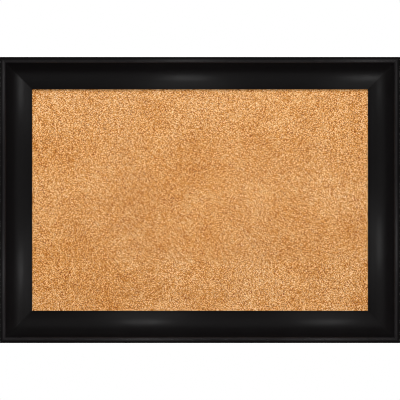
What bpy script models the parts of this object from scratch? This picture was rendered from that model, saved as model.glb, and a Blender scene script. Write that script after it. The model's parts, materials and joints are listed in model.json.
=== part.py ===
"""A cork bulletin board, 28 x 20 in, built as the separate pieces it is assembled from.

Four mitred rails of scooped black moulding carry a cork sheet, its fibre core and a hardboard back in
their rabbet. Framer's points keep that stack in, V-nails hold each mitre, and the back has two D-ring
hangers, screwed to the side rails, and two rubber bumpers.

The board hangs on a wall. It faces -Y, with +X to its right and +Z up, and the origin is the middle of
the wall plane that the bumpers touch. Every length is in metres.
"""
import math

import bmesh
import bpy
from mathutils import Matrix, Vector

# Driving dimensions of the board
BOARD_WIDTH = 0.7112
BOARD_HEIGHT = 0.5080
MOULDING_WIDTH = 0.05715
MOULDING_DEPTH = 0.03175
WALL_STANDOFF = 0.0048
GAP = 0.0003

# Moulding section: u runs in from the outer edge, v runs forward from the back of the rails
SHOULDER_RADIUS = 0.00525
BEAD_FLAT = 0.0020
BEAD_WIDTH = 0.0107
SCOOP_RADIUS = 0.045
SCOOP_MIDDLE = 0.038
SCOOP_FLOOR = 0.020
LIP_RADIUS = 0.0010
RABBET_WIDTH = 0.00815
RABBET_FLOOR = 0.0170
RABBET_WALL = MOULDING_WIDTH - RABBET_WIDTH
MITRE_TRIM = 0.0002

# Panel stack in the rabbet, from the front to the back
PANEL_CLEARANCE = 0.0018
PANEL_WIDTH = BOARD_WIDTH - 2 * (RABBET_WALL + PANEL_CLEARANCE)
PANEL_HEIGHT = BOARD_HEIGHT - 2 * (RABBET_WALL + PANEL_CLEARANCE)
CORK_THICKNESS = 0.0040
CORE_THICKNESS = 0.0050
BACK_THICKNESS = 0.0030

# V-nails across each mitre, driven from the back
NAIL_THICKNESS = 0.0006
NAIL_LEG = 0.0040
NAIL_DEPTH = 0.0100
NAIL_INSETS = {"outer": 0.014, "inner": 0.038}

# Framer's points, half in the rabbet's wall and half over the hardboard
POINT_THICKNESS = 0.0006
POINT_WIDTH = 0.0070
POINT_TAB = 0.0090
POINT_BITE = 0.0060
POINT_ROUND = 0.0020
POINT_SPACING = 0.150
POINTS_ON_SIDE = {"top": 4, "right": 3, "bottom": 4, "left": 3}

# D-ring hangers: a folded strap, a wire ring in its loop, and two pan-head screws
HANGER_INSET = RABBET_WALL / 2
HANGER_HEIGHT = BOARD_HEIGHT / 6
STRAP_THICKNESS = 0.0009
STRAP_WIDTH = 0.0100
STRAP_LENGTH = 0.0370
STRAP_SLOPE = 50.0
WIRE_RADIUS = 0.0010
LOOP_RADIUS = WIRE_RADIUS + GAP
HINGE_HEIGHT = GAP + STRAP_THICKNESS + LOOP_RADIUS
STRAP_TOP = 2 * (GAP + STRAP_THICKNESS)
RING_INNER_WIDTH = 0.0160
RING_REACH = 0.0140
RING_CORNER = 0.0025
RING_LEAN = math.asin((HINGE_HEIGHT - GAP - WIRE_RADIUS) / RING_REACH)
SCREW_DROPS = (0.0195, 0.0305)
SCREW_TURNS = {"left": (20, 65), "right": (50, 5)}
SCREW_HEAD_RADIUS = 0.0035
SCREW_HEAD_HEIGHT = 0.0019
SCREW_HEAD_RIM = 0.0006
SCREW_SHANK_RADIUS = 0.0012
SCREW_THREAD_RADIUS = 0.0017
SCREW_THREAD_PITCH = 0.0014
SCREW_THREAD_TURNS = 8
SCREW_TIP = 0.0020
SCREW_LENGTH = SCREW_THREAD_PITCH * SCREW_THREAD_TURNS + SCREW_TIP
RECESS_ARM = 0.0019
RECESS_WIDTH = 0.0009
RECESS_DEPTH = 0.0012

# Rubber bumpers on the bottom rail
BUMPER_RADIUS = 0.00635
BUMPER_FACE_RADIUS = 0.0052
BUMPER_RIM = 0.0010
BUMPER_INSET = 0.020
BUMPER_FROM_END = 0.045

# Each side of the board: how far it is turned from the top about Y, its length, and its reach
SIDES = {
    "top": (0, BOARD_WIDTH, BOARD_HEIGHT / 2),
    "right": (90, BOARD_HEIGHT, BOARD_WIDTH / 2),
    "bottom": (180, BOARD_WIDTH, BOARD_HEIGHT / 2),
    "left": (270, BOARD_HEIGHT, BOARD_WIDTH / 2),
}

# How finely round stretches are cut into straight ones, and how meshes are cleaned
ROUND_STEPS = 24
SCOOP_STEPS = 24
BOW_STEPS = 16
LOOP_STEPS = 14
STRAP_END_STEPS = 12
SHOULDER_STEPS = 8
BEAD_STEPS = 6
CORNER_STEPS = 4
WIRE_RESOLUTION = 4
SHARP_ANGLE = math.radians(30)
FLAT_ANGLE = 1e-3
WELD_DISTANCE = 1e-6
TURN_WELD_DISTANCE = 1e-5
CUTTER_REACH = 0.002


def clear_scene():
    for item in list(bpy.data.objects):
        bpy.data.objects.remove(item, do_unlink=True)


def new_collection(name):
    collection = bpy.data.collections.new(name)
    bpy.context.scene.collection.children.link(collection)
    return collection


def new_material(name, colour, roughness, metallic=0.0):
    material = bpy.data.materials.new(name)
    material.use_nodes = True
    shader = material.node_tree.nodes["Principled BSDF"]
    shader.inputs["Base Color"].default_value = (*colour, 1.0)
    shader.inputs["Roughness"].default_value = roughness
    shader.inputs["Metallic"].default_value = metallic
    return material


def add_object(name, data, matrix, collection, material=None):
    """A new object in a collection, at a world matrix."""
    item = bpy.data.objects.new(name, data)
    item.matrix_world = matrix
    collection.objects.link(item)
    if material:
        data.materials.append(material)
    return item


def add_cutter(name, mesh, matrix, collection):
    cutter = add_object(name, mesh, matrix, collection)
    cutter.display_type = "WIRE"
    cutter.hide_render = True
    return cutter


def shape_with(item, cutter, operation="DIFFERENCE"):
    modifier = item.modifiers.new(cutter.name, "BOOLEAN")
    modifier.object = cutter
    modifier.operation = operation
    modifier.solver = "EXACT"


def smooth(mesh):
    """Round stretches shade smooth, and edges over 30 degrees stay crisp."""
    mesh.shade_smooth()
    mesh.set_sharp_from_angle(angle=SHARP_ANGLE)


def arc(centre, radius_x, radius_y, start, end, steps):
    """Points along an arc of a circle or ellipse, between two angles in degrees."""
    points = []
    for step in range(steps + 1):
        angle = math.radians(start + (end - start) * step / steps)
        x = centre[0] + radius_x * math.cos(angle)
        y = centre[1] + radius_y * math.sin(angle)
        points.append((x, y))
    return points


def offset(points, distance, closed=False):
    """The points moved sideways, to the left of their direction, with mitred corners."""
    vectors = [Vector(point) for point in points]
    last = len(vectors) - 1
    moved = []
    for index, point in enumerate(vectors):
        before = vectors[index - 1] if index or closed else point
        after = vectors[(index + 1) % len(vectors)] if index < last or closed else point
        ways = [way.normalized() for way in (point - before, after - point) if way.length]
        normals = [Vector((-way.y, way.x)) for way in ways]
        middle = sum(normals, Vector((0, 0))).normalized()
        moved.append(tuple(point + middle * distance / middle.dot(normals[0])))
    return moved


def strip_outline(path, thickness):
    """The outline of a strip of even thickness bent along a path."""
    return offset(path, thickness / 2) + offset(path, -thickness / 2)[::-1]


def outline_mesh(outline, thickness):
    """A filled flat outline in XY, as thick to each side of Z = 0, as a welded mesh."""
    curve = bpy.data.curves.new("outline", "CURVE")
    curve.dimensions = "2D"
    curve.fill_mode = "BOTH"
    curve.extrude = thickness / 2
    spline = curve.splines.new("POLY")
    spline.points.add(len(outline) - 1)
    for point, (x, y) in zip(spline.points, outline):
        point.co = (x, y, 0, 1)
    spline.use_cyclic_u = True
    guide = bpy.data.objects.new("outline", curve)
    bpy.context.scene.collection.objects.link(guide)
    graph = bpy.context.evaluated_depsgraph_get()
    mesh = bpy.data.meshes.new_from_object(guide.evaluated_get(graph))
    bpy.data.objects.remove(guide, do_unlink=True)
    shell = bmesh.new()
    shell.from_mesh(mesh)
    bmesh.ops.remove_doubles(shell, verts=shell.verts, dist=WELD_DISTANCE)
    bmesh.ops.dissolve_limit(shell, angle_limit=FLAT_ANGLE, verts=shell.verts, edges=shell.edges)
    bmesh.ops.recalc_face_normals(shell, faces=shell.faces)
    shell.to_mesh(mesh)
    shell.free()
    return mesh


def cylinder_mesh(radius, depth):
    """A cylinder on Z, centred on the origin."""
    mesh = bpy.data.meshes.new("cylinder")
    shell = bmesh.new()
    bmesh.ops.create_cone(
        shell, cap_ends=True, segments=ROUND_STEPS, radius1=radius, radius2=radius, depth=depth)
    shell.to_mesh(mesh)
    shell.free()
    return mesh


def box_mesh(width, depth, height):
    mesh = bpy.data.meshes.new("box")
    shell = bmesh.new()
    bmesh.ops.create_cube(shell, size=1, matrix=Matrix.Diagonal((width, depth, height, 1)))
    shell.to_mesh(mesh)
    shell.free()
    return mesh


def turned_object(name, profile, matrix, collection, material):
    """A turned piece on Z, from a profile of radius and height that runs down its outer side."""
    mesh = bpy.data.meshes.new(name)
    mesh.from_pydata(
        [(radius, 0, height) for radius, height in profile],
        [(index, index + 1) for index in range(len(profile) - 1)], [])
    item = add_object(name, mesh, matrix, collection, material)
    turn = item.modifiers.new("turn", "SCREW")
    turn.axis = "Z"
    turn.steps = ROUND_STEPS
    turn.render_steps = ROUND_STEPS
    turn.use_merge_vertices = True
    turn.merge_threshold = TURN_WELD_DISTANCE
    turn.use_smooth_shade = True
    return item


def behind_board(x, height, z):
    """The place of a piece on the back of the rails, with its Z axis pointing at the wall."""
    place = Matrix.Translation((x, height - WALL_STANDOFF, z))
    return place @ Matrix.Rotation(math.radians(-90), 4, "X")


def on_side(side, along, u, v):
    """A place on one side: X runs along the rail, Z points out of the board, and Y at the wall."""
    angle, _, reach = SIDES[side]
    turn = Matrix.Rotation(math.radians(angle), 4, "Y")
    return turn @ Matrix.Translation((along, -WALL_STANDOFF - v, reach - u))


def moulding_outline():
    """The moulding's section: square back, rounded bead, scoop, eased lip and rabbet."""
    scoop_centre = (SCOOP_MIDDLE, SCOOP_FLOOR + SCOOP_RADIUS)
    lip_u = MOULDING_WIDTH - LIP_RADIUS
    lip_drop = math.sqrt((SCOOP_RADIUS + LIP_RADIUS) ** 2 - (lip_u - SCOOP_MIDDLE) ** 2)
    lip_start = math.degrees(math.atan2(lip_drop, SCOOP_MIDDLE - lip_u))
    quirk_start = -90 - math.degrees(math.asin((SCOOP_MIDDLE - BEAD_WIDTH) / SCOOP_RADIUS))

    shoulder = arc((SHOULDER_RADIUS, MOULDING_DEPTH - SHOULDER_RADIUS),
                   SHOULDER_RADIUS, SHOULDER_RADIUS, 180, 90, SHOULDER_STEPS)
    scoop = arc(scoop_centre, SCOOP_RADIUS, SCOOP_RADIUS, quirk_start, lip_start - 180, SCOOP_STEPS)
    bead_u = SHOULDER_RADIUS + BEAD_FLAT
    quirk_v = scoop[0][1]
    bead = arc((bead_u, quirk_v), BEAD_WIDTH - bead_u, MOULDING_DEPTH - quirk_v, 90, 0, BEAD_STEPS)
    lip = arc((lip_u, scoop_centre[1] - lip_drop), LIP_RADIUS, LIP_RADIUS, lip_start, 0, CORNER_STEPS)
    rabbet = [(MOULDING_WIDTH, RABBET_FLOOR), (RABBET_WALL, RABBET_FLOOR), (RABBET_WALL, 0)]
    return [(0, 0)] + shoulder + bead[:-1] + scoop + lip[1:] + rabbet


def rail_mesh(length):
    """A length of moulding, each point of its ends drawn in by its own distance from the edge."""
    mesh = outline_mesh(moulding_outline(), length)
    for vertex in mesh.vertices:
        u, v, along = vertex.co
        mitred = math.copysign(length / 2 - u - MITRE_TRIM, along)
        vertex.co = (-mitred, -v, -u)
    smooth(mesh)
    return mesh


def make_rails(parts, material):
    rails = {}
    for side, (_, length, _) in SIDES.items():
        matrix = on_side(side, 0, 0, 0)
        rails[side] = add_object(f"rail_{side}", rail_mesh(length), matrix, parts, material)
    return rails


def make_panel(parts, cork, fibre, hardboard):
    """The three layers of the panel, and the height v of the hardboard's rear face."""
    layers = [
        ("cork_sheet", CORK_THICKNESS, cork),
        ("fibre_core", CORE_THICKNESS, fibre),
        ("back_board", BACK_THICKNESS, hardboard),
    ]
    v = RABBET_FLOOR
    for name, thickness, material in layers:
        v -= GAP + thickness
        mesh = box_mesh(PANEL_WIDTH, thickness, PANEL_HEIGHT)
        middle = -WALL_STANDOFF - v - thickness / 2
        add_object(name, mesh, Matrix.Translation((0, middle, 0)), parts, material)
    return v


def nail_mesh(clearance, depth):
    """A V-nail seen from behind, its point towards +X, grown by a clearance."""
    path = [(-NAIL_LEG, NAIL_LEG), (0, 0), (-NAIL_LEG, -NAIL_LEG)]
    outline = strip_outline(path, NAIL_THICKNESS)
    return outline_mesh(offset(outline, clearance, closed=True), depth)


def make_v_nails(parts, cutters, rails, material):
    """Two V-nails in each corner, each leg in a slot of its own rail, sunk a little below the back."""
    slot_depth = NAIL_DEPTH + 2 * GAP + CUTTER_REACH
    for row, sign_z in (("top", 1), ("bottom", -1)):
        for column, sign_x in (("left", -1), ("right", 1)):
            turn = Matrix.Rotation(math.atan2(sign_z, -sign_x), 4, "Y")
            for place, inset in NAIL_INSETS.items():
                x = sign_x * (BOARD_WIDTH / 2 - inset)
                z = sign_z * (BOARD_HEIGHT / 2 - inset)
                label = f"{row}_{column}_{place}"
                lie = turn @ Matrix.Rotation(math.radians(90), 4, "X")
                nail_y = -WALL_STANDOFF - GAP - NAIL_DEPTH / 2
                slot_y = CUTTER_REACH - WALL_STANDOFF - slot_depth / 2
                nail = nail_mesh(0, NAIL_DEPTH)
                add_object(f"v_nail_{label}", nail, Matrix.Translation((x, nail_y, z)) @ lie,
                           parts, material)
                slot = add_cutter(f"v_slot_{label}", nail_mesh(GAP, slot_depth),
                                  Matrix.Translation((x, slot_y, z)) @ lie, cutters)
                shape_with(rails[row], slot)
                shape_with(rails[column], slot)


def point_outline():
    """A framer's point: a tab with rounded corners, and a sharp end towards +Y."""
    half = POINT_WIDTH / 2
    corner_y = POINT_ROUND - POINT_TAB
    left = arc((POINT_ROUND - half, corner_y), POINT_ROUND, POINT_ROUND, 180, 270, CORNER_STEPS)
    right = arc((half - POINT_ROUND, corner_y), POINT_ROUND, POINT_ROUND, 270, 360, CORNER_STEPS)
    return left + right + [(half, 0), (0, POINT_BITE), (-half, 0)]


def make_points(parts, cutters, rails, material, panel_back):
    """Framer's points spaced along each rail, each with its sharp end in a slot of the rabbet's wall."""
    v = panel_back - GAP - POINT_THICKNESS / 2
    lie = Matrix.Rotation(math.radians(90), 4, "X")
    for side, count in POINTS_ON_SIDE.items():
        for index in range(count):
            along = (index - (count - 1) / 2) * POINT_SPACING
            matrix = on_side(side, along, RABBET_WALL, v) @ lie
            tab = outline_mesh(point_outline(), POINT_THICKNESS)
            add_object(f"framers_point_{side}_{index + 1}", tab, matrix, parts, material)
            slot = outline_mesh(offset(point_outline(), -GAP, closed=True), POINT_THICKNESS + 2 * GAP)
            shape_with(rails[side], add_cutter(f"point_slot_{side}_{index + 1}", slot, matrix, cutters))


def strap_path():
    """The folded strap from the side: X runs down from the hinge, Y towards the wall."""
    radius = LOOP_RADIUS + STRAP_THICKNESS / 2
    under = GAP + STRAP_THICKNESS / 2 - HINGE_HEIGHT
    over = under + GAP + STRAP_THICKNESS
    far = STRAP_LENGTH + CUTTER_REACH
    loop = arc((0, 0), radius, radius, 270, STRAP_SLOPE, LOOP_STEPS)
    slope = math.radians(STRAP_SLOPE)
    bend = loop[-1][0] + (loop[-1][1] - over) * math.tan(slope)
    return [(far, under)] + loop + [(bend, over), (far, over)]


def strap_mesh():
    """The folded strip, wider and longer than the strap, to be trimmed to its plan."""
    outline = strip_outline(strap_path(), STRAP_THICKNESS)
    mesh = outline_mesh(outline, STRAP_WIDTH + 2 * CUTTER_REACH)
    for vertex in mesh.vertices:
        down, rise, across = vertex.co
        vertex.co = (across, rise, -down)
    smooth(mesh)
    return mesh


def strap_plan():
    """The strap seen square on: straight sides and a round lower end."""
    half = STRAP_WIDTH / 2
    top = LOOP_RADIUS + STRAP_THICKNESS + CUTTER_REACH
    end = arc((0, half - STRAP_LENGTH), half, half, 180, 360, STRAP_END_STEPS)
    return [(half, top), (-half, top)] + end


def ring_path():
    """The D-ring's centre line: the straight bar lies on X, and the bow reaches to +Z."""
    half = RING_INNER_WIDTH / 2 + WIRE_RADIUS
    right = arc((half - RING_CORNER, RING_CORNER), RING_CORNER, RING_CORNER, -90, 0, CORNER_STEPS)
    bow = arc((0, RING_REACH - half), half, half, 0, 180, BOW_STEPS)
    left = arc((RING_CORNER - half, RING_CORNER), RING_CORNER, RING_CORNER, 180, 270, CORNER_STEPS)
    return right + bow + left


def make_ring(name, matrix, parts, material):
    curve = bpy.data.curves.new(name, "CURVE")
    curve.dimensions = "3D"
    curve.bevel_depth = WIRE_RADIUS
    curve.bevel_resolution = WIRE_RESOLUTION
    spline = curve.splines.new("POLY")
    path = ring_path()
    spline.points.add(len(path) - 1)
    for point, (x, z) in zip(spline.points, path):
        point.co = (x, 0, z, 1)
    spline.use_cyclic_u = True
    lean = Matrix.Rotation(RING_LEAN, 4, "X")
    return add_object(name, curve, matrix @ lean, parts, material)


def screw_profile():
    """A pan head, a threaded shank of round ridges and a point, from the top down."""
    flat = SCREW_HEAD_RADIUS - (SCREW_HEAD_HEIGHT - SCREW_HEAD_RIM)
    head = arc((flat, SCREW_HEAD_RIM), SCREW_HEAD_RADIUS - flat,
               SCREW_HEAD_HEIGHT - SCREW_HEAD_RIM, 90, 0, CORNER_STEPS)
    profile = [(0, SCREW_HEAD_HEIGHT)] + head + [(SCREW_HEAD_RADIUS, 0), (SCREW_SHANK_RADIUS, 0)]
    for turn in range(SCREW_THREAD_TURNS):
        root = -(turn + 1) * SCREW_THREAD_PITCH
        profile.append((SCREW_THREAD_RADIUS, root + SCREW_THREAD_PITCH / 2))
        profile.append((SCREW_SHANK_RADIUS, root))
    return profile + [(0, -SCREW_LENGTH)]


def recess_mesh():
    """The cross recess of a screw head, as a solid to cut with."""
    arm, half = RECESS_ARM, RECESS_WIDTH / 2
    outline = []
    for x, y in ((1, 0), (0, 1), (-1, 0), (0, -1)):
        outline.append((arm * x + half * y, arm * y - half * x))
        outline.append((arm * x - half * y, arm * y + half * x))
        outline.append((half * (x - y), half * (y + x)))
    return outline_mesh(outline, RECESS_DEPTH + CUTTER_REACH)


def make_screw(name, matrix, turn, parts, cutters, material):
    screw = turned_object(name, screw_profile(), matrix, parts, material)
    recess_z = SCREW_HEAD_HEIGHT + (CUTTER_REACH - RECESS_DEPTH) / 2
    recess = matrix @ Matrix.Translation((0, 0, recess_z)) @ Matrix.Rotation(math.radians(turn), 4, "Z")
    shape_with(screw, add_cutter(f"recess_{name}", recess_mesh(), recess, cutters))


def make_hanger(side, sign, parts, cutters, rails, zinc, screw_zinc):
    """A strap, its ring and two screws on a side rail, with the screws' pilot holes in the wood."""
    x = sign * (BOARD_WIDTH / 2 - HANGER_INSET)
    hinge = Matrix.Translation((x, HINGE_HEIGHT - WALL_STANDOFF, HANGER_HEIGHT))
    strap = add_object(f"hanger_strap_{side}", strap_mesh(), hinge, parts, zinc)
    upright = hinge @ Matrix.Rotation(math.radians(90), 4, "X")
    plan = outline_mesh(strap_plan(), 2 * WALL_STANDOFF)
    shape_with(strap, add_cutter(f"strap_plan_{side}", plan, upright, cutters), "INTERSECT")
    make_ring(f"hanger_ring_{side}", hinge, parts, zinc)

    head_height = STRAP_TOP + GAP
    bore = SCREW_THREAD_RADIUS + GAP
    pilot_depth = 2 * (SCREW_LENGTH + GAP)
    for index, drop in enumerate(SCREW_DROPS):
        number = index + 1
        z = HANGER_HEIGHT - drop
        seat = behind_board(x, head_height, z)
        name = f"hanger_screw_{side}_{number}"
        make_screw(name, seat, SCREW_TURNS[side][index], parts, cutters, screw_zinc)
        hole = add_cutter(f"screw_hole_{side}_{number}", cylinder_mesh(bore, pilot_depth), seat, cutters)
        shape_with(strap, hole)
        shape_with(rails[side], hole)


def make_bumper(name, x, parts, material):
    """A rubber bumper stuck to the bottom rail, tapering a little to its flat face on the wall."""
    height = WALL_STANDOFF - GAP
    rim_centre = (BUMPER_FACE_RADIUS - BUMPER_RIM, height - BUMPER_RIM)
    taper = math.degrees(math.atan2(BUMPER_RADIUS - BUMPER_FACE_RADIUS, rim_centre[1]))
    rim = arc(rim_centre, BUMPER_RIM, BUMPER_RIM, 90, taper, CORNER_STEPS)
    profile = [(0, height)] + rim + [(BUMPER_RADIUS, 0), (0, 0)]
    z = BUMPER_INSET - BOARD_HEIGHT / 2
    turned_object(name, profile, behind_board(x, GAP, z), parts, material)


def build():
    clear_scene()
    parts = new_collection("cork_bulletin_board")
    cutters = new_collection("cutters")
    lacquer = new_material("black_lacquered_wood", (0.012, 0.011, 0.010), 0.35)
    cork = new_material("cork", (0.65, 0.31, 0.11), 0.9)
    fibre = new_material("fibreboard", (0.42, 0.29, 0.17), 0.9)
    hardboard = new_material("hardboard", (0.17, 0.085, 0.04), 0.7)
    zinc = new_material("zinc_plated_steel", (0.62, 0.61, 0.58), 0.35, 1.0)
    screw_zinc = new_material("yellow_zinc_plated_steel", (0.70, 0.61, 0.43), 0.35, 1.0)
    steel = new_material("bare_steel", (0.48, 0.48, 0.47), 0.4, 1.0)
    rubber = new_material("black_rubber", (0.02, 0.02, 0.02), 0.8)

    rails = make_rails(parts, lacquer)
    panel_back = make_panel(parts, cork, fibre, hardboard)
    make_v_nails(parts, cutters, rails, steel)
    make_points(parts, cutters, rails, steel, panel_back)
    for side, sign in (("left", -1), ("right", 1)):
        make_hanger(side, sign, parts, cutters, rails, zinc, screw_zinc)
        bumper_x = sign * (BOARD_WIDTH / 2 - BUMPER_FROM_END)
        make_bumper(f"wall_bumper_{side}", bumper_x, parts, rubber)


build()
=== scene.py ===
"""Looks for the cork bulletin board: its finishes, fine surfaces, camera, lights and floor.

Everything is in metres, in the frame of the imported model: the board faces -Y, +X is to its right and +Z
is up. Within a rail's own axes, X runs along it, Y runs back to the wall and Z runs out of the board. A
place across a rail is given as its inset, which is how far it lies inside the board's outer edge.
"""
import json
import math

import bmesh
import bpy
import numpy as np
from mathutils import Matrix, Vector


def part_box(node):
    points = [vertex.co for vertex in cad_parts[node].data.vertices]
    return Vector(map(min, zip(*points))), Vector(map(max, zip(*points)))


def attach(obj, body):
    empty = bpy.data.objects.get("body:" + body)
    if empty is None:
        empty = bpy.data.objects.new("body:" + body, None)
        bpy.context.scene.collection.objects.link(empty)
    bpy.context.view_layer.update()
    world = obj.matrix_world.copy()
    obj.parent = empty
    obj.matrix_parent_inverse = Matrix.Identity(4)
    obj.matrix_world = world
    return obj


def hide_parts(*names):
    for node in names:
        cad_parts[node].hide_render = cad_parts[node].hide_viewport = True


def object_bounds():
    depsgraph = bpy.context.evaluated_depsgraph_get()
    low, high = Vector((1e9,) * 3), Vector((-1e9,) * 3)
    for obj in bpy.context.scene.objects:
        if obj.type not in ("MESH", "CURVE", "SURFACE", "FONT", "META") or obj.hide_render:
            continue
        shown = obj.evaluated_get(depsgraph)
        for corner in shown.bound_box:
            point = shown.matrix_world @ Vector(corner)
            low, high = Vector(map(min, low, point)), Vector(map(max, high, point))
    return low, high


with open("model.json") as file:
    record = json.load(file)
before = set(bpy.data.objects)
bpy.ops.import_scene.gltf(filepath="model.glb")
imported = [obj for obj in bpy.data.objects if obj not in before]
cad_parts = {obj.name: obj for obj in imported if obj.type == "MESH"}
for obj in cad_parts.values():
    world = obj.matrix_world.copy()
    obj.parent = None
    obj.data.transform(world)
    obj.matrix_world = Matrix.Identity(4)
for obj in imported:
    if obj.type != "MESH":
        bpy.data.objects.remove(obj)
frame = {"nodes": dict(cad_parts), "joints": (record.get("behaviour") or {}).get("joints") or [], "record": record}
cad_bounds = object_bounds()

# The board, from the frame
LOW, HIGH = (Vector(corner) for corner in cad_bounds)
HALF_WIDTH = HIGH.x
HALF_HEIGHT = HIGH.z
RAIL_LOW, RAIL_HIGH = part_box("rail_top")
BACK_PLANE = RAIL_HIGH.y
MOULDING_WIDTH = RAIL_HIGH.z - RAIL_LOW.z
CORK_LOW, CORK_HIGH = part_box("cork_sheet")

# Each rail's turn about Y, in degrees, and how far its outer edge is from the board's middle
SIDES = {
    "top": (0, HALF_HEIGHT),
    "right": (90, HALF_WIDTH),
    "bottom": (180, HALF_HEIGHT),
    "left": (270, HALF_WIDTH),
}

# The moulding's section
PANEL_GAP = 0.0003
RABBET_FLOOR = BACK_PLANE - CORK_LOW.y + PANEL_GAP    # how far the lip's back is in front of the rail's
BEAD_CREST = 0.0083                                   # inset
SCOOP_MIDDLE = 0.038                                  # inset
SHOULDER = 0.00525                                    # the rail is widest this far behind its front
FACE_MARGIN = 0.0002                                  # how near a face counts as on a plane
MITRE_REACH = 0.001                                   # how near a corner counts as on the mitre

# The D-rings
RING_WIRE = 0.0010          # the wire's radius
RING_HALF_EYE = 0.0080      # half the opening's width
RING_REACH = 0.0140         # from the hinge to the middle of the wire at the far end
RING_CORNER = 0.0025        # radius of the corners beside the hinge
RING_DROP = 0.0012          # how far back the far end leans, onto the rail

# The cork's face
CORK_STEP = 0.0020
CORK_ROUGHNESS = 0.00012

# Eased edges
BOARD_EASE = 0.0004
STEEL_EASE = 0.00012

SMOOTH_ANGLE = math.radians(30)
FLAT_ANGLE = math.radians(0.3)
WELD = 1e-6


# Node helpers

def node(tree, kind, inputs=None, **settings):
    """A shader node. Inputs are keyed by name or index, and are values or other nodes' sockets."""
    made = tree.nodes.new("ShaderNode" + kind)
    for name, value in settings.items():
        setattr(made, name, value)
    for key, value in (inputs or {}).items():
        if isinstance(value, bpy.types.NodeSocket):
            tree.links.new(value, made.inputs[key])
        else:
            made.inputs[key].default_value = value
    return made


def maths(tree, operation, first, second=0.0):
    return node(tree, "Math", {0: first, 1: second}, operation=operation).outputs[0]


def remap(tree, value, low, high, new_low=0.0, new_high=1.0, kind="LINEAR"):
    """A value's range stretched onto another and held inside it."""
    made = node(tree, "MapRange", {0: value, 1: low, 2: high, 3: new_low, 4: new_high},
                interpolation_type=kind)
    return made.outputs[0]


def noise(tree, vector, scale, detail=2.0, roughness=0.5, output="Fac"):
    """Cloudy noise, with a scale in features a metre."""
    made = node(tree, "TexNoise", {"Vector": vector, "Scale": scale, "Detail": detail,
                                   "Roughness": roughness})
    return made.outputs[output]


def voronoi(tree, vector, scale, feature="F1", output="Distance"):
    """Cells, with a scale in cells a metre."""
    made = node(tree, "TexVoronoi", {"Vector": vector, "Scale": scale}, feature=feature)
    return made.outputs[output]


def scaled(tree, vector, factors):
    """A vector with each axis multiplied by its own factor."""
    return node(tree, "VectorMath", {0: vector, 1: factors}, operation="MULTIPLY").outputs[0]


def moved(tree, vector, offset):
    return node(tree, "VectorMath", {0: vector, 1: offset}, operation="ADD").outputs[0]


def axes(tree, vector):
    """A vector's three parts."""
    return node(tree, "SeparateXYZ", {0: vector}).outputs


def mixed(tree, factor, first, second, blend="MIX"):
    """Two colours mixed by a factor."""
    made = node(tree, "Mix", {0: factor, 6: first, 7: second}, data_type="RGBA", blend_type=blend)
    return made.outputs[2]


def ramp(tree, value, stops):
    """A colour picked from stops of position and colour."""
    made = node(tree, "ValToRGB", {0: value})
    elements = made.color_ramp.elements
    while len(elements) < len(stops):
        elements.new(1.0)
    for element, (position, colour) in zip(elements, stops):
        element.position = position
        element.color = colour
    return made.outputs[0]


def bump(tree, height, distance, strength):
    """A normal from a height, whose full range stands for a distance."""
    return node(tree, "Bump", {"Height": height, "Distance": distance, "Strength": strength}).outputs[0]


def srgb(red, green, blue):
    """A display colour, 0 to 255 a channel, as the linear colour that nodes take."""
    channels = [channel / 255 for channel in (red, green, blue)]
    linear = [c / 12.92 if c <= 0.04045 else ((c + 0.055) / 1.055) ** 2.4 for c in channels]
    return (*linear, 1.0)


def start_material(name, metallic=0.0, **sockets):
    """A new material, its node tree, its Principled shader and its object coordinates."""
    material = bpy.data.materials.new(name)
    material.use_nodes = True
    tree = material.node_tree
    shader = tree.nodes["Principled BSDF"]
    shader.inputs["Metallic"].default_value = metallic
    for socket, value in sockets.items():
        shader.inputs[socket.replace("_", " ")].default_value = value
    place = node(tree, "TexCoord").outputs["Object"]
    return material, tree, shader, place


def finish_material(tree, shader, colour, normal, roughness):
    tree.links.new(colour, shader.inputs["Base Color"])
    tree.links.new(normal, shader.inputs["Normal"])
    tree.links.new(roughness, shader.inputs["Roughness"])


def rail_coordinates(tree, place):
    """Object coordinates moved by the rail's own place, so that no two rails have the same grain."""
    rail = node(tree, "ObjectInfo").outputs["Location"]
    return moved(tree, place, rail)


def rail_inset(tree, place):
    """How far a point lies inside the board's outer edge."""
    return maths(tree, "MULTIPLY", axes(tree, place)[2], -1.0)


# Materials

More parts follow.
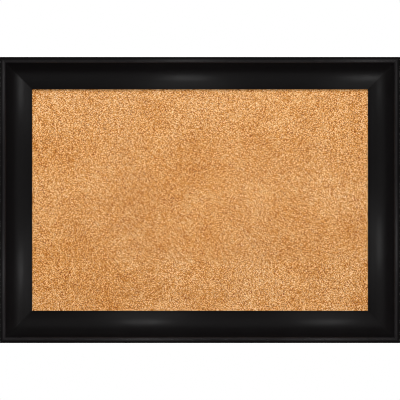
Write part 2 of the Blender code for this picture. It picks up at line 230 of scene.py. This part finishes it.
def cork_material():
    """Pressed cork: tan granules of mixed size with darker seams, specks of bark and slow mottling."""
    coarse_scale = 560
    fine_scale = 1150
    wander = (0.0007, 0.0007, 0.0007)
    bark_share = 0.05
    material, tree, shader, place = start_material("cork", Specular_IOR_Level=0.15)
    crooked = moved(tree, place, scaled(tree, noise(tree, place, 900, 2, output="Color"), wander))
    coarse = voronoi(tree, crooked, coarse_scale, output="Color")
    fine = voronoi(tree, crooked, fine_scale, output="Color")
    seam = voronoi(tree, crooked, coarse_scale, "DISTANCE_TO_EDGE")

    coarse_tone = node(tree, "SeparateColor", {0: coarse}).outputs
    fine_tone = node(tree, "SeparateColor", {0: fine}).outputs
    grit = noise(tree, place, 2600, 3, 0.7)
    patches = noise(tree, place, 14, 3, 0.55)
    drift = noise(tree, moved(tree, place, (5.3, 0.0, 4.1)), 3.2, 1, 0.5)

    shares = (
        (coarse_tone[0], 0.22),
        (fine_tone[0], 0.75),
        (grit, 0.35),
        (patches, 0.24),
        (drift, 0.18),
    )
    tone = 0.5
    for layer, share in shares:
        above_middle = maths(tree, "SUBTRACT", layer, 0.5)
        tone = maths(tree, "ADD", tone, maths(tree, "MULTIPLY", above_middle, share))
    colour = ramp(tree, tone, [
        (0.00, srgb(96, 38, 0)),
        (0.25, srgb(158, 86, 3)),
        (0.50, srgb(212, 144, 62)),
        (0.75, srgb(246, 198, 142)),
        (1.00, srgb(255, 236, 200)),
    ])
    warmth = remap(tree, noise(tree, moved(tree, place, (0.2, 0.0, 0.9)), 6, 2), 0.42, 0.68)
    colour = mixed(tree, warmth, colour, (1.0, 0.955, 0.86, 1), "MULTIPLY")
    seam_depth = remap(tree, seam, 0.0, 0.10, 0.15, 0.0)
    colour = mixed(tree, seam_depth, colour, srgb(128, 66, 8))
    bark = maths(tree, "GREATER_THAN", coarse_tone[1], 1 - bark_share)
    colour = mixed(tree, bark, colour, (0.45, 0.30, 0.15, 1), "MULTIPLY")

    relief = maths(tree, "ADD", remap(tree, seam, 0.0, 0.16), maths(tree, "MULTIPLY", grit, 0.5))
    normal = bump(tree, relief, 0.00025, 0.6)
    finish_material(tree, shader, colour, normal, remap(tree, grit, 0.3, 0.7, 0.8, 0.95))
    return material


def lacquer_material():
    """Satin black lacquer, a painted highlight along the bead's crest, over faint pores along the rail."""
    deep = (0.0077, 0.0064, 0.0067, 1)
    thin = (0.0089, 0.0075, 0.0078, 1)
    # A lighter colour painted on the bead's crest as its highlight, then how far off the crest it is full and gone
    crest_highlight = (0.029, 0.0258, 0.0272, 1)
    highlight_full_to = 0.0013          # from the bead's crest
    highlight_gone_from = 0.0031
    material, tree, shader, place = start_material("black_lacquer")
    own = rail_coordinates(tree, place)
    pores = noise(tree, scaled(tree, own, (22, 700, 700)), 1.0, 3, 0.6)
    peel = noise(tree, own, 420, 2)
    cloud = noise(tree, own, 35, 2)

    # Painted highlight: the lighter colour laid along the bead's crest, a little uneven along the rail
    off_crest = maths(tree, "ABSOLUTE", maths(tree, "SUBTRACT", rail_inset(tree, place), BEAD_CREST))
    highlight_band = remap(tree, off_crest, highlight_full_to, highlight_gone_from, 1.0, 0.0, "SMOOTHSTEP")
    painted_highlight = maths(tree, "MULTIPLY", highlight_band, remap(tree, cloud, 0.3, 0.7, 0.75, 1.0))
    black = mixed(tree, remap(tree, pores, 0.35, 0.75), deep, thin)
    colour = mixed(tree, painted_highlight, black, crest_highlight)

    pore_height = maths(tree, "MULTIPLY", pores, 0.7)
    height = maths(tree, "ADD", pore_height, maths(tree, "MULTIPLY", peel, 0.15))
    normal = bump(tree, height, 0.00006, 0.35)
    finish_material(tree, shader, colour, normal, remap(tree, cloud, 0.3, 0.7, 0.29, 0.35))
    return material


def pine_material():
    """Bare pine on the rails' backs, with grain along the rail and black overspray at its edges."""
    overspray = (0.012, 0.011, 0.010, 1)
    spray_start = -0.0040
    spray_end = 0.0020
    material, tree, shader, place = start_material("bare_pine")
    own = rail_coordinates(tree, place)
    sway = noise(tree, scaled(tree, own, (3, 14, 14)), 1.0, 2, output="Color")
    bent = moved(tree, scaled(tree, own, (0.25, 1, 1)), scaled(tree, sway, (0, 0.03, 0.03)))
    waves = {"Vector": bent, "Scale": 42.0, "Distortion": 1.6, "Detail": 2.0, "Detail Scale": 1.2}
    rings = node(tree, "TexWave", waves, wave_type="RINGS", rings_direction="X").outputs["Fac"]
    fibre = noise(tree, scaled(tree, own, (9, 520, 520)), 1.0, 4, 0.7)
    stain = noise(tree, own, 18, 3)
    wood = ramp(tree, rings, [
        (0.0, srgb(214, 180, 132)),
        (0.62, srgb(203, 162, 108)),
        (1.0, srgb(166, 115, 64)),
    ])
    wood = mixed(tree, remap(tree, fibre, 0.35, 0.7, 0.0, 0.35), wood, srgb(150, 108, 66))
    wood = mixed(tree, remap(tree, stain, 0.45, 0.75, 0.0, 0.3), wood, srgb(140, 105, 70))

    ragged = maths(tree, "MULTIPLY", noise(tree, own, 90, 2, 0.5), 0.008)
    from_edge = maths(tree, "SUBTRACT", rail_inset(tree, place), ragged)
    spray = remap(tree, from_edge, spray_start, spray_end, 1.0, 0.0, "SMOOTHSTEP")
    colour = mixed(tree, spray, wood, overspray)

    height = maths(tree, "ADD", fibre, maths(tree, "MULTIPLY", rings, 0.4))
    normal = bump(tree, height, 0.00012, 0.5)
    finish_material(tree, shader, colour, normal, remap(tree, fibre, 0.3, 0.7, 0.62, 0.78))
    return material


def hardboard_material():
    """The rough side of hardboard: pressed brown fibres with the print of a wire screen."""
    screen_pitch = 0.0016
    material, tree, shader, place = start_material("hardboard")
    turn = math.tau / screen_pitch
    along = axes(tree, place)
    wires = [maths(tree, "SINE", maths(tree, "MULTIPLY", along[axis], turn)) for axis in (0, 2)]
    pits = remap(tree, maths(tree, "MULTIPLY", *wires), -1.0, 1.0)
    fibre = noise(tree, place, 520, 5, 0.7)
    flock = noise(tree, scaled(tree, place, (1, 1, 2)), 230, 4, 0.7)
    cloud = noise(tree, place, 11, 4, 0.6)
    colour = ramp(tree, fibre, [
        (0.30, srgb(78, 50, 30)),
        (0.5, srgb(124, 86, 54)),
        (0.72, srgb(170, 128, 86)),
    ])
    colour = mixed(tree, remap(tree, flock, 0.46, 0.66, 0.0, 0.6), colour, srgb(84, 54, 33))
    colour = mixed(tree, remap(tree, flock, 0.50, 0.34, 0.0, 0.55), colour, srgb(168, 128, 90))
    colour = mixed(tree, remap(tree, cloud, 0.35, 0.7, 0.0, 0.45), colour, srgb(150, 108, 72))
    colour = mixed(tree, maths(tree, "MULTIPLY", pits, 0.25), colour, srgb(58, 36, 22))
    height = maths(tree, "SUBTRACT", maths(tree, "MULTIPLY", fibre, 0.8), pits)
    normal = bump(tree, height, 0.0002, 0.7)
    finish_material(tree, shader, colour, normal, remap(tree, fibre, 0.3, 0.7, 0.7, 0.9))
    return material


def fibre_material():
    """Soft grey-brown fibreboard."""
    material, tree, shader, place = start_material("soft_fibreboard")
    fibre = noise(tree, scaled(tree, place, (1, 4, 1)), 700, 4, 0.7)
    cloud = noise(tree, place, 40, 2)
    colour = ramp(tree, fibre, [(0.3, srgb(132, 108, 82)), (0.7, srgb(186, 162, 130))])
    colour = mixed(tree, remap(tree, cloud, 0.4, 0.7, 0.0, 0.3), colour, srgb(120, 96, 72))
    normal = bump(tree, fibre, 0.0003, 0.8)
    finish_material(tree, shader, colour, normal, remap(tree, fibre, 0, 1, 0.8, 0.95))
    return material


def metal_material(name, bright, dull, low_roughness, high_roughness, grain=(1, 1, 1)):
    """Plated or bare steel: clouded plating, fine scratches and darker handling marks."""
    tarnish = (0.5, 0.47, 0.42)
    material, tree, shader, place = start_material(name, metallic=1.0)
    cloud = noise(tree, place, 260, 4, 0.6)
    scratch = noise(tree, scaled(tree, place, grain), 2400, 3, 0.7)
    spots = remap(tree, noise(tree, place, 900, 3, 0.6), 0.62, 0.75, 0.0, 0.6)
    colour = mixed(tree, remap(tree, cloud, 0.35, 0.7), (*bright, 1), (*dull, 1))
    tarnished = [channel * share for channel, share in zip(dull, tarnish)]
    colour = mixed(tree, spots, colour, (*tarnished, 1))
    clouded = remap(tree, cloud, 0.3, 0.7, low_roughness, high_roughness)
    roughness = maths(tree, "ADD", clouded, maths(tree, "MULTIPLY", scratch, 0.12))
    finish_material(tree, shader, colour, bump(tree, scratch, 0.00003, 0.5), roughness)
    return material


def rubber_material():
    """Matt black rubber, faintly mottled and dusty."""
    clean = (0.012, 0.012, 0.012, 1)
    dusty = (0.06, 0.057, 0.052, 1)
    material, tree, shader, place = start_material("bumper_rubber")
    grain = noise(tree, place, 1800, 3, 0.6)
    dust = noise(tree, place, 300, 4, 0.7)
    colour = mixed(tree, remap(tree, dust, 0.5, 0.8, 0.0, 0.5), clean, dusty)
    normal = bump(tree, grain, 0.00005, 0.6)
    finish_material(tree, shader, colour, normal, remap(tree, dust, 0.3, 0.7, 0.6, 0.85))
    return material


def floor_material():
    """Pale matt floor."""
    material, tree, shader, place = start_material("pale_floor")
    cloud = noise(tree, place, 1.5, 2)
    colour = mixed(tree, remap(tree, cloud, 0.3, 0.7), (0.80, 0.80, 0.79, 1), (0.84, 0.84, 0.83, 1))
    normal = bump(tree, noise(tree, place, 60, 2), 0.0004, 0.2)
    finish_material(tree, shader, colour, normal, remap(tree, cloud, 0.3, 0.7, 0.7, 0.8))
    return material


# Pieces

def link_piece(name, data, node_name):
    """A new piece that rides with a CAD node's body and stands for that node."""
    piece = bpy.data.objects.new(name, data)
    bpy.context.scene.collection.objects.link(piece)
    bodies = frame["record"]["behaviour"]["bodies"]
    body = next(body for body, members in bodies.items() if node_name in members)
    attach(piece, body)
    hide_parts(node_name)
    return piece


def welded_mesh(node_name, matrix):
    """A CAD node's mesh in the axes of a matrix: welded, flat faces whole and round ones smooth."""
    shell = bmesh.new()
    shell.from_mesh(frame["nodes"][node_name].data)
    bmesh.ops.remove_doubles(shell, verts=shell.verts, dist=WELD)
    bmesh.ops.dissolve_limit(shell, angle_limit=FLAT_ANGLE, verts=shell.verts, edges=shell.edges)
    bmesh.ops.transform(shell, matrix=matrix.inverted(), verts=shell.verts)
    mesh = bpy.data.meshes.new(node_name)
    shell.to_mesh(mesh)
    shell.free()
    if mesh.attributes.get("custom_normal"):
        mesh.attributes.remove(mesh.attributes["custom_normal"])
    mesh.shade_smooth()
    mesh.set_sharp_from_angle(angle=SMOOTH_ANGLE)
    mesh.materials.clear()
    return mesh


def flatten_shading(piece):
    """Keeps flat faces evenly shaded beside the round ones they run into."""
    weighted = piece.modifiers.new("flats", "WEIGHTED_NORMAL")
    weighted.keep_sharp = True


def ease_edges(piece, width):
    """Small rounds on a piece's crisp edges."""
    bevel = piece.modifiers.new("eased", "BEVEL")
    bevel.width = width
    bevel.segments = 2
    bevel.limit_method = "ANGLE"
    bevel.angle_limit = SMOOTH_ANGLE
    bevel.harden_normals = True


def side_matrix(side):
    """A rail's own axes, with their origin on its back, halfway along its outer edge."""
    angle, reach = SIDES[side]
    turn = Matrix.Rotation(math.radians(angle), 4, "Y")
    return turn @ Matrix.Translation((0, BACK_PLANE, reach))


def make_moulding(side, lacquer, pine):
    """A rail in its own axes, lacquered on its face and outer side, and bare behind."""
    matrix = side_matrix(side)
    mesh = welded_mesh(f"rail_{side}", matrix)
    half_length = HALF_HEIGHT if side in ("left", "right") else HALF_WIDTH
    for vertex in mesh.vertices:
        to_mitre = half_length + vertex.co.z - abs(vertex.co.x)
        if to_mitre < MITRE_REACH:
            vertex.co.x += math.copysign(to_mitre, vertex.co.x)
    mesh.materials.append(lacquer)
    mesh.materials.append(pine)
    for face in mesh.polygons:
        inset = -face.center.z
        forward = -face.center.y
        outer_side = inset < FACE_MARGIN
        faced = forward > RABBET_FLOOR + FACE_MARGIN and abs(face.normal.x) < 0.5
        face.material_index = 0 if outer_side or faced else 1
    piece = link_piece(f"moulding_{side}", mesh, f"rail_{side}")
    piece.matrix_world = matrix
    flatten_shading(piece)
    return piece


def cork_block():
    """The cork sheet as a block with a finely divided face, where the CAD solid is."""
    width, thickness, height = CORK_HIGH - CORK_LOW
    shell = bmesh.new()
    flat = Matrix.Rotation(math.radians(90), 4, "X") @ Matrix.Diagonal((width / 2, height / 2, 1, 1))
    bmesh.ops.create_grid(shell, x_segments=round(width / CORK_STEP), y_segments=round(height / CORK_STEP),
                          size=1, matrix=flat)
    rim = [edge for edge in shell.edges if edge.is_boundary]
    walls = bmesh.ops.extrude_edge_only(shell, edges=rim)["geom"]
    back = [item for item in walls if isinstance(item, bmesh.types.BMVert)]
    bmesh.ops.translate(shell, verts=back, vec=(0, thickness, 0))
    back_edges = [edge for edge in shell.edges if edge.is_boundary]
    bmesh.ops.contextual_create(shell, geom=back_edges)
    bmesh.ops.translate(shell, verts=shell.verts, vec=(0, CORK_LOW.y, 0))
    bmesh.ops.recalc_face_normals(shell, faces=shell.faces)
    mesh = bpy.data.meshes.new("cork_panel")
    shell.to_mesh(mesh)
    shell.free()
    return mesh


def make_cork(material):
    """The cork sheet: a finely uneven face inside the rails, straight cut edges and a flat back."""
    mesh = cork_block()
    places = np.empty(len(mesh.vertices) * 3)
    mesh.vertices.foreach_get("co", places)
    places = places.reshape(-1, 3)
    across, depth, up = places.T
    front = depth < (CORK_LOW.y + CORK_HIGH.y) / 2
    inside = (abs(across) < HALF_WIDTH - MOULDING_WIDTH) & (abs(up) < HALF_HEIGHT - MOULDING_WIDTH)
    jitter = np.random.default_rng(7).uniform(-1, 1, len(places))
    places[:, 1] -= np.where(front & inside, CORK_ROUGHNESS * jitter, 0)
    mesh.vertices.foreach_set("co", places.reshape(-1))
    mesh.update()
    mesh.shade_smooth()
    mesh.set_sharp_from_angle(angle=SMOOTH_ANGLE)
    mesh.materials.append(material)
    link_piece("cork_panel", mesh, "cork_sheet")


def copy_node(node_name, name, material, ease=0.0):
    """A piece from a CAD node's mesh, where it is, with eased edges where they are asked for."""
    piece = link_piece(name, welded_mesh(node_name, Matrix.Identity(4)), node_name)
    piece.data.materials.append(material)
    if ease:
        ease_edges(piece, ease)
    return piece


def make_hardware(node_name, name, material, ease=0.0):
    """A small metal or rubber piece, whose flat faces stay flat beside its round ones."""
    flatten_shading(copy_node(node_name, name, material, ease))


def arc(centre, radius, start, end, steps):
    """Points along a round stretch, between two angles in degrees."""
    angles = (math.radians(start + (end - start) * step / steps) for step in range(steps + 1))
    return [(centre[0] + radius * math.cos(angle), centre[1] + radius * math.sin(angle))
            for angle in angles]


def make_ring(side, material):
    """The wire D-ring, finely rounded, on its hinge and leaning on the rail."""
    corner_steps = 10
    bow_steps = 44
    half = RING_HALF_EYE + RING_WIRE
    path = arc((half - RING_CORNER, RING_CORNER), RING_CORNER, -90, 0, corner_steps)
    path += arc((0, RING_REACH - half), half, 0, 180, bow_steps)
    path += arc((RING_CORNER - half, RING_CORNER), RING_CORNER, 180, 270, corner_steps)
    curve = bpy.data.curves.new(f"d_ring_{side}", "CURVE")
    curve.dimensions = "3D"
    curve.bevel_depth = RING_WIRE
    curve.bevel_resolution = 6
    spline = curve.splines.new("POLY")
    spline.points.add(len(path) - 1)
    for point, (x, z) in zip(spline.points, path):
        point.co = (x, 0, z, 1)
    spline.use_cyclic_u = True
    curve.materials.append(material)
    piece = link_piece(f"d_ring_{side}", curve, f"hanger_ring_{side}")
    hinge = next(joint["pos_m"] for joint in frame["joints"] if joint["child"] == f"ring_{side}")
    lean = math.asin(RING_DROP / RING_REACH)
    piece.matrix_world = Matrix.Translation(hinge) @ Matrix.Rotation(lean, 4, "X")


def dress_nodes(prefix, material):
    """Gives CAD nodes whose shape is right their finish."""
    for name, item in frame["nodes"].items():
        if name.startswith(prefix):
            item.data.materials.clear()
            item.data.materials.append(material)


def make_pieces():
    """Every piece of the board, with its finish. Gives back the four mouldings, which the lights need."""
    lacquer = lacquer_material()
    pine = pine_material()
    zinc = metal_material("bright_zinc", (0.72, 0.72, 0.70), (0.52, 0.52, 0.50), 0.24, 0.36, (1, 1, 6))
    screw_zinc = metal_material("yellow_zinc", (0.78, 0.70, 0.52), (0.58, 0.50, 0.34), 0.25, 0.38)
    steel = metal_material("bare_steel", (0.58, 0.58, 0.57), (0.38, 0.37, 0.35), 0.34, 0.5)
    rubber = rubber_material()

    mouldings = {side: make_moulding(side, lacquer, pine) for side in SIDES}
    make_cork(cork_material())
    copy_node("back_board", "hardboard_panel", hardboard_material(), BOARD_EASE)
    dress_nodes("fibre_core", fibre_material())
    dress_nodes("v_nail", steel)
    for name in frame["nodes"]:
        if name.startswith("framers_point"):
            make_hardware(name, name.replace("framers_point", "point"), steel, STEEL_EASE)
    for side in ("left", "right"):
        make_hardware(f"hanger_strap_{side}", f"strap_{side}", zinc, STEEL_EASE)
        make_ring(side, zinc)
        for number in (1, 2):
            screw = f"screw_{side}_{number}"
            make_hardware(f"hanger_{screw}", screw, screw_zinc)
        make_hardware(f"wall_bumper_{side}", f"bumper_{side}", rubber)
    return mouldings


# Stage

MIDDLE = (0, 0, 0)

# Soft boxes on the board's diagonals, for the rails: X and Z in shares of their reach, and watts
CORNER_REACH = 2.4
CORNER_LIGHTS = {
    "key_left": (-1, 1, 11),
    "key_right": (1, 1, 8),
    "fill_left": (-1, -0.9, 11),
    "fill_right": (1, -0.9, 9),
}
# Soft boxes behind the board: X, Z and watts
BACK_LIGHTS = ((1.9, 1.6, 80), (-1.9, 1.0, 54))
# The highlights in each scoop: how far along X or Z each one is, and its share of the full power
HIGHLIGHTS = {
    "top": ((-0.026, 1.0), (0.305, 1.0)),
    "bottom": ((-0.100, 1.0), (0.233, 0.9)),
    "left": ((0.204, 1.0), (-0.128, 1.0)),
    "right": ((-0.078, 1.0), (0.205, 0.35)),
}
HIGHLIGHT_POWER = 0.016
HIGHLIGHT_Y = -0.22
GLOW_SHIFT = 0.12           # each highlight's larger, softer light stands this much farther out


def aim(item, target):
    item.rotation_euler = (Vector(target) - item.location).to_track_quat("-Z", "Y").to_euler()


def add_light(name, place, target, size, power, only=(), without=(), mirrored=True, colour=(1, 1, 1)):
    """A soft square light for everything, for only some pieces, or for all but a few."""
    data = bpy.data.lights.new(name, "AREA")
    data.shape = "SQUARE"
    data.size = size
    data.energy = power
    data.color = colour
    light = bpy.data.objects.new(name, data)
    light.location = place
    aim(light, target)
    light.visible_camera = False
    light.visible_glossy = mirrored
    bpy.context.scene.collection.objects.link(light)
    chosen = only or without
    if chosen:
        receivers = bpy.data.collections.new(f"{name}_receivers")
        for item in chosen:
            receivers.objects.link(item)
        light.light_linking.receiver_collection = receivers
        for item in receivers.collection_objects:
            item.light_linking.link_state = "INCLUDE" if only else "EXCLUDE"


def light_front(rails, floor):
    """A wash for the floor, and soft boxes in front: two for the cork, five for the rails, one for both."""
    others = rails + [floor]
    add_light("floor_wash", (0, 0, 5.0), MIDDLE, 14.0, 1050, only=[floor])
    add_light("front_key", (-0.6, -2.5, 1.4), MIDDLE, 1.4, 63.5, without=others, colour=(1, 0.97, 0.95))
    add_light("front_fill", (0.6, -3.0, 0.0), MIDDLE, 1.4, 51.5, without=others)
    for name, (x, z, power) in CORNER_LIGHTS.items():
        place = (x * CORNER_REACH, -CORNER_REACH, z * CORNER_REACH)
        add_light(name, place, MIDDLE, 1.2, power, only=rails)
    add_light("front_card", (0, -3.0, 0), MIDDLE, 2.2, 2.4, without=[floor])
    add_light("rail_wash", (0, -1.4, -0.5), MIDDLE, 0.2, 8.5, only=rails, mirrored=False)


def light_back_and_sides(rails, floor):
    """Soft boxes behind the board, which the rails don't mirror, and others over and beside it."""
    others = rails + [floor]
    add_light("back_card", (0, 3.2, 0.4), MIDDLE, 2.0, 11, without=others)
    for number, (x, z, power) in enumerate(BACK_LIGHTS, 1):
        place = (x, 2.2, z)
        add_light(f"back_{number}", place, MIDDLE, 1.4, power, without=others)
        add_light(f"back_rails_{number}", place, MIDDLE, 1.4, power, only=rails, mirrored=False)
    for name, x in (("over_left", -2.0), ("over_right", 2.0)):
        add_light(name, (x, 0.9, 2.2), (0, 0, -0.6), 1.5, 26, without=[floor])
    for name, x in (("side_left", -3.2), ("side_right", 3.2)):
        add_light(name, (x, 0.1, -0.15), MIDDLE, 0.8, 0.35, only=rails)


def light_scoop(side, moulding):
    """A wash for one rail, and small lights close in front of its scoop for its soft highlights."""
    out = moulding.matrix_world.to_3x3() @ Vector((0, 0, 1))
    centre = moulding.matrix_world @ Vector((0, 0, -SCOOP_MIDDLE))
    wash_place = centre + out * 0.9 + Vector((0, -1.5, 0))
    add_light(f"wash_{side}", wash_place, centre, 0.8, 0.28, only=[moulding])
    for number, (place, share) in enumerate(HIGHLIGHTS[side], 1):
        spot = Vector((place, HIGHLIGHT_Y, centre.z))
        if side in ("left", "right"):
            spot = Vector((centre.x, HIGHLIGHT_Y, place))
        target = spot + Vector((0, 1, 0))
        power = HIGHLIGHT_POWER * share
        add_light(f"spot_{side}_{number}", spot, target, 0.06, power, only=[moulding])
        add_light(f"glow_{side}_{number}", spot + out * GLOW_SHIFT, target, 0.14, power, only=[moulding])


def make_world():
    """White behind the board, and dim for everything that lights or mirrors in it."""
    world = bpy.data.worlds.new("studio")
    world.use_nodes = True
    tree = world.node_tree
    tree.nodes.clear()
    rays = node(tree, "LightPath").outputs
    strength = remap(tree, rays["Is Glossy Ray"], 0.0, 1.0, 0.02, 0.004)
    dim = node(tree, "Background", {"Color": (1, 1, 1, 1), "Strength": strength})
    white = node(tree, "Background", {"Color": (1, 1, 1, 1), "Strength": 1.0})
    both = node(tree, "MixShader", {0: rays["Is Camera Ray"], 1: dim.outputs[0], 2: white.outputs[0]})
    output = node(tree, "OutputWorld")
    tree.links.new(both.outputs[0], output.inputs["Surface"])
    bpy.context.scene.world = world


def make_floor():
    """A pale floor below the board, which neither lights it nor mirrors in it."""
    half_size = 4.5
    drop = 0.36
    mesh = bpy.data.meshes.new("floor")
    shell = bmesh.new()
    bmesh.ops.create_grid(shell, x_segments=1, y_segments=1, size=half_size)
    shell.to_mesh(mesh)
    shell.free()
    mesh.materials.append(floor_material())
    floor = bpy.data.objects.new("floor", mesh)
    floor.location = (0, 0, -HALF_HEIGHT - drop)
    floor.visible_glossy = False
    floor.visible_diffuse = False
    bpy.context.scene.collection.objects.link(floor)
    return floor


def make_camera():
    """Square on to the board, far off, with its full width just past the frame's edges."""
    distance = 8.0
    overfill = 1.001
    data = bpy.data.cameras.new("camera")
    data.sensor_width = 36.0
    data.lens = data.sensor_width * distance / (2 * HALF_WIDTH) * overfill
    data.clip_end = 50
    camera = bpy.data.objects.new("camera", data)
    camera.location = (0, LOW.y + SHOULDER - distance, 0)
    camera.rotation_euler = (math.radians(90), 0, 0)
    bpy.context.scene.collection.objects.link(camera)
    bpy.context.scene.camera = camera


def build():
    bpy.context.scene.view_settings.view_transform = "Standard"
    bpy.context.scene.cycles.filter_width = 1.0
    make_camera()
    mouldings = make_pieces()
    floor = make_floor()
    rails = list(mouldings.values())
    light_front(rails, floor)
    light_back_and_sides(rails, floor)
    for side in HIGHLIGHTS:
        light_scoop(side, mouldings[side])
    make_world()


build()
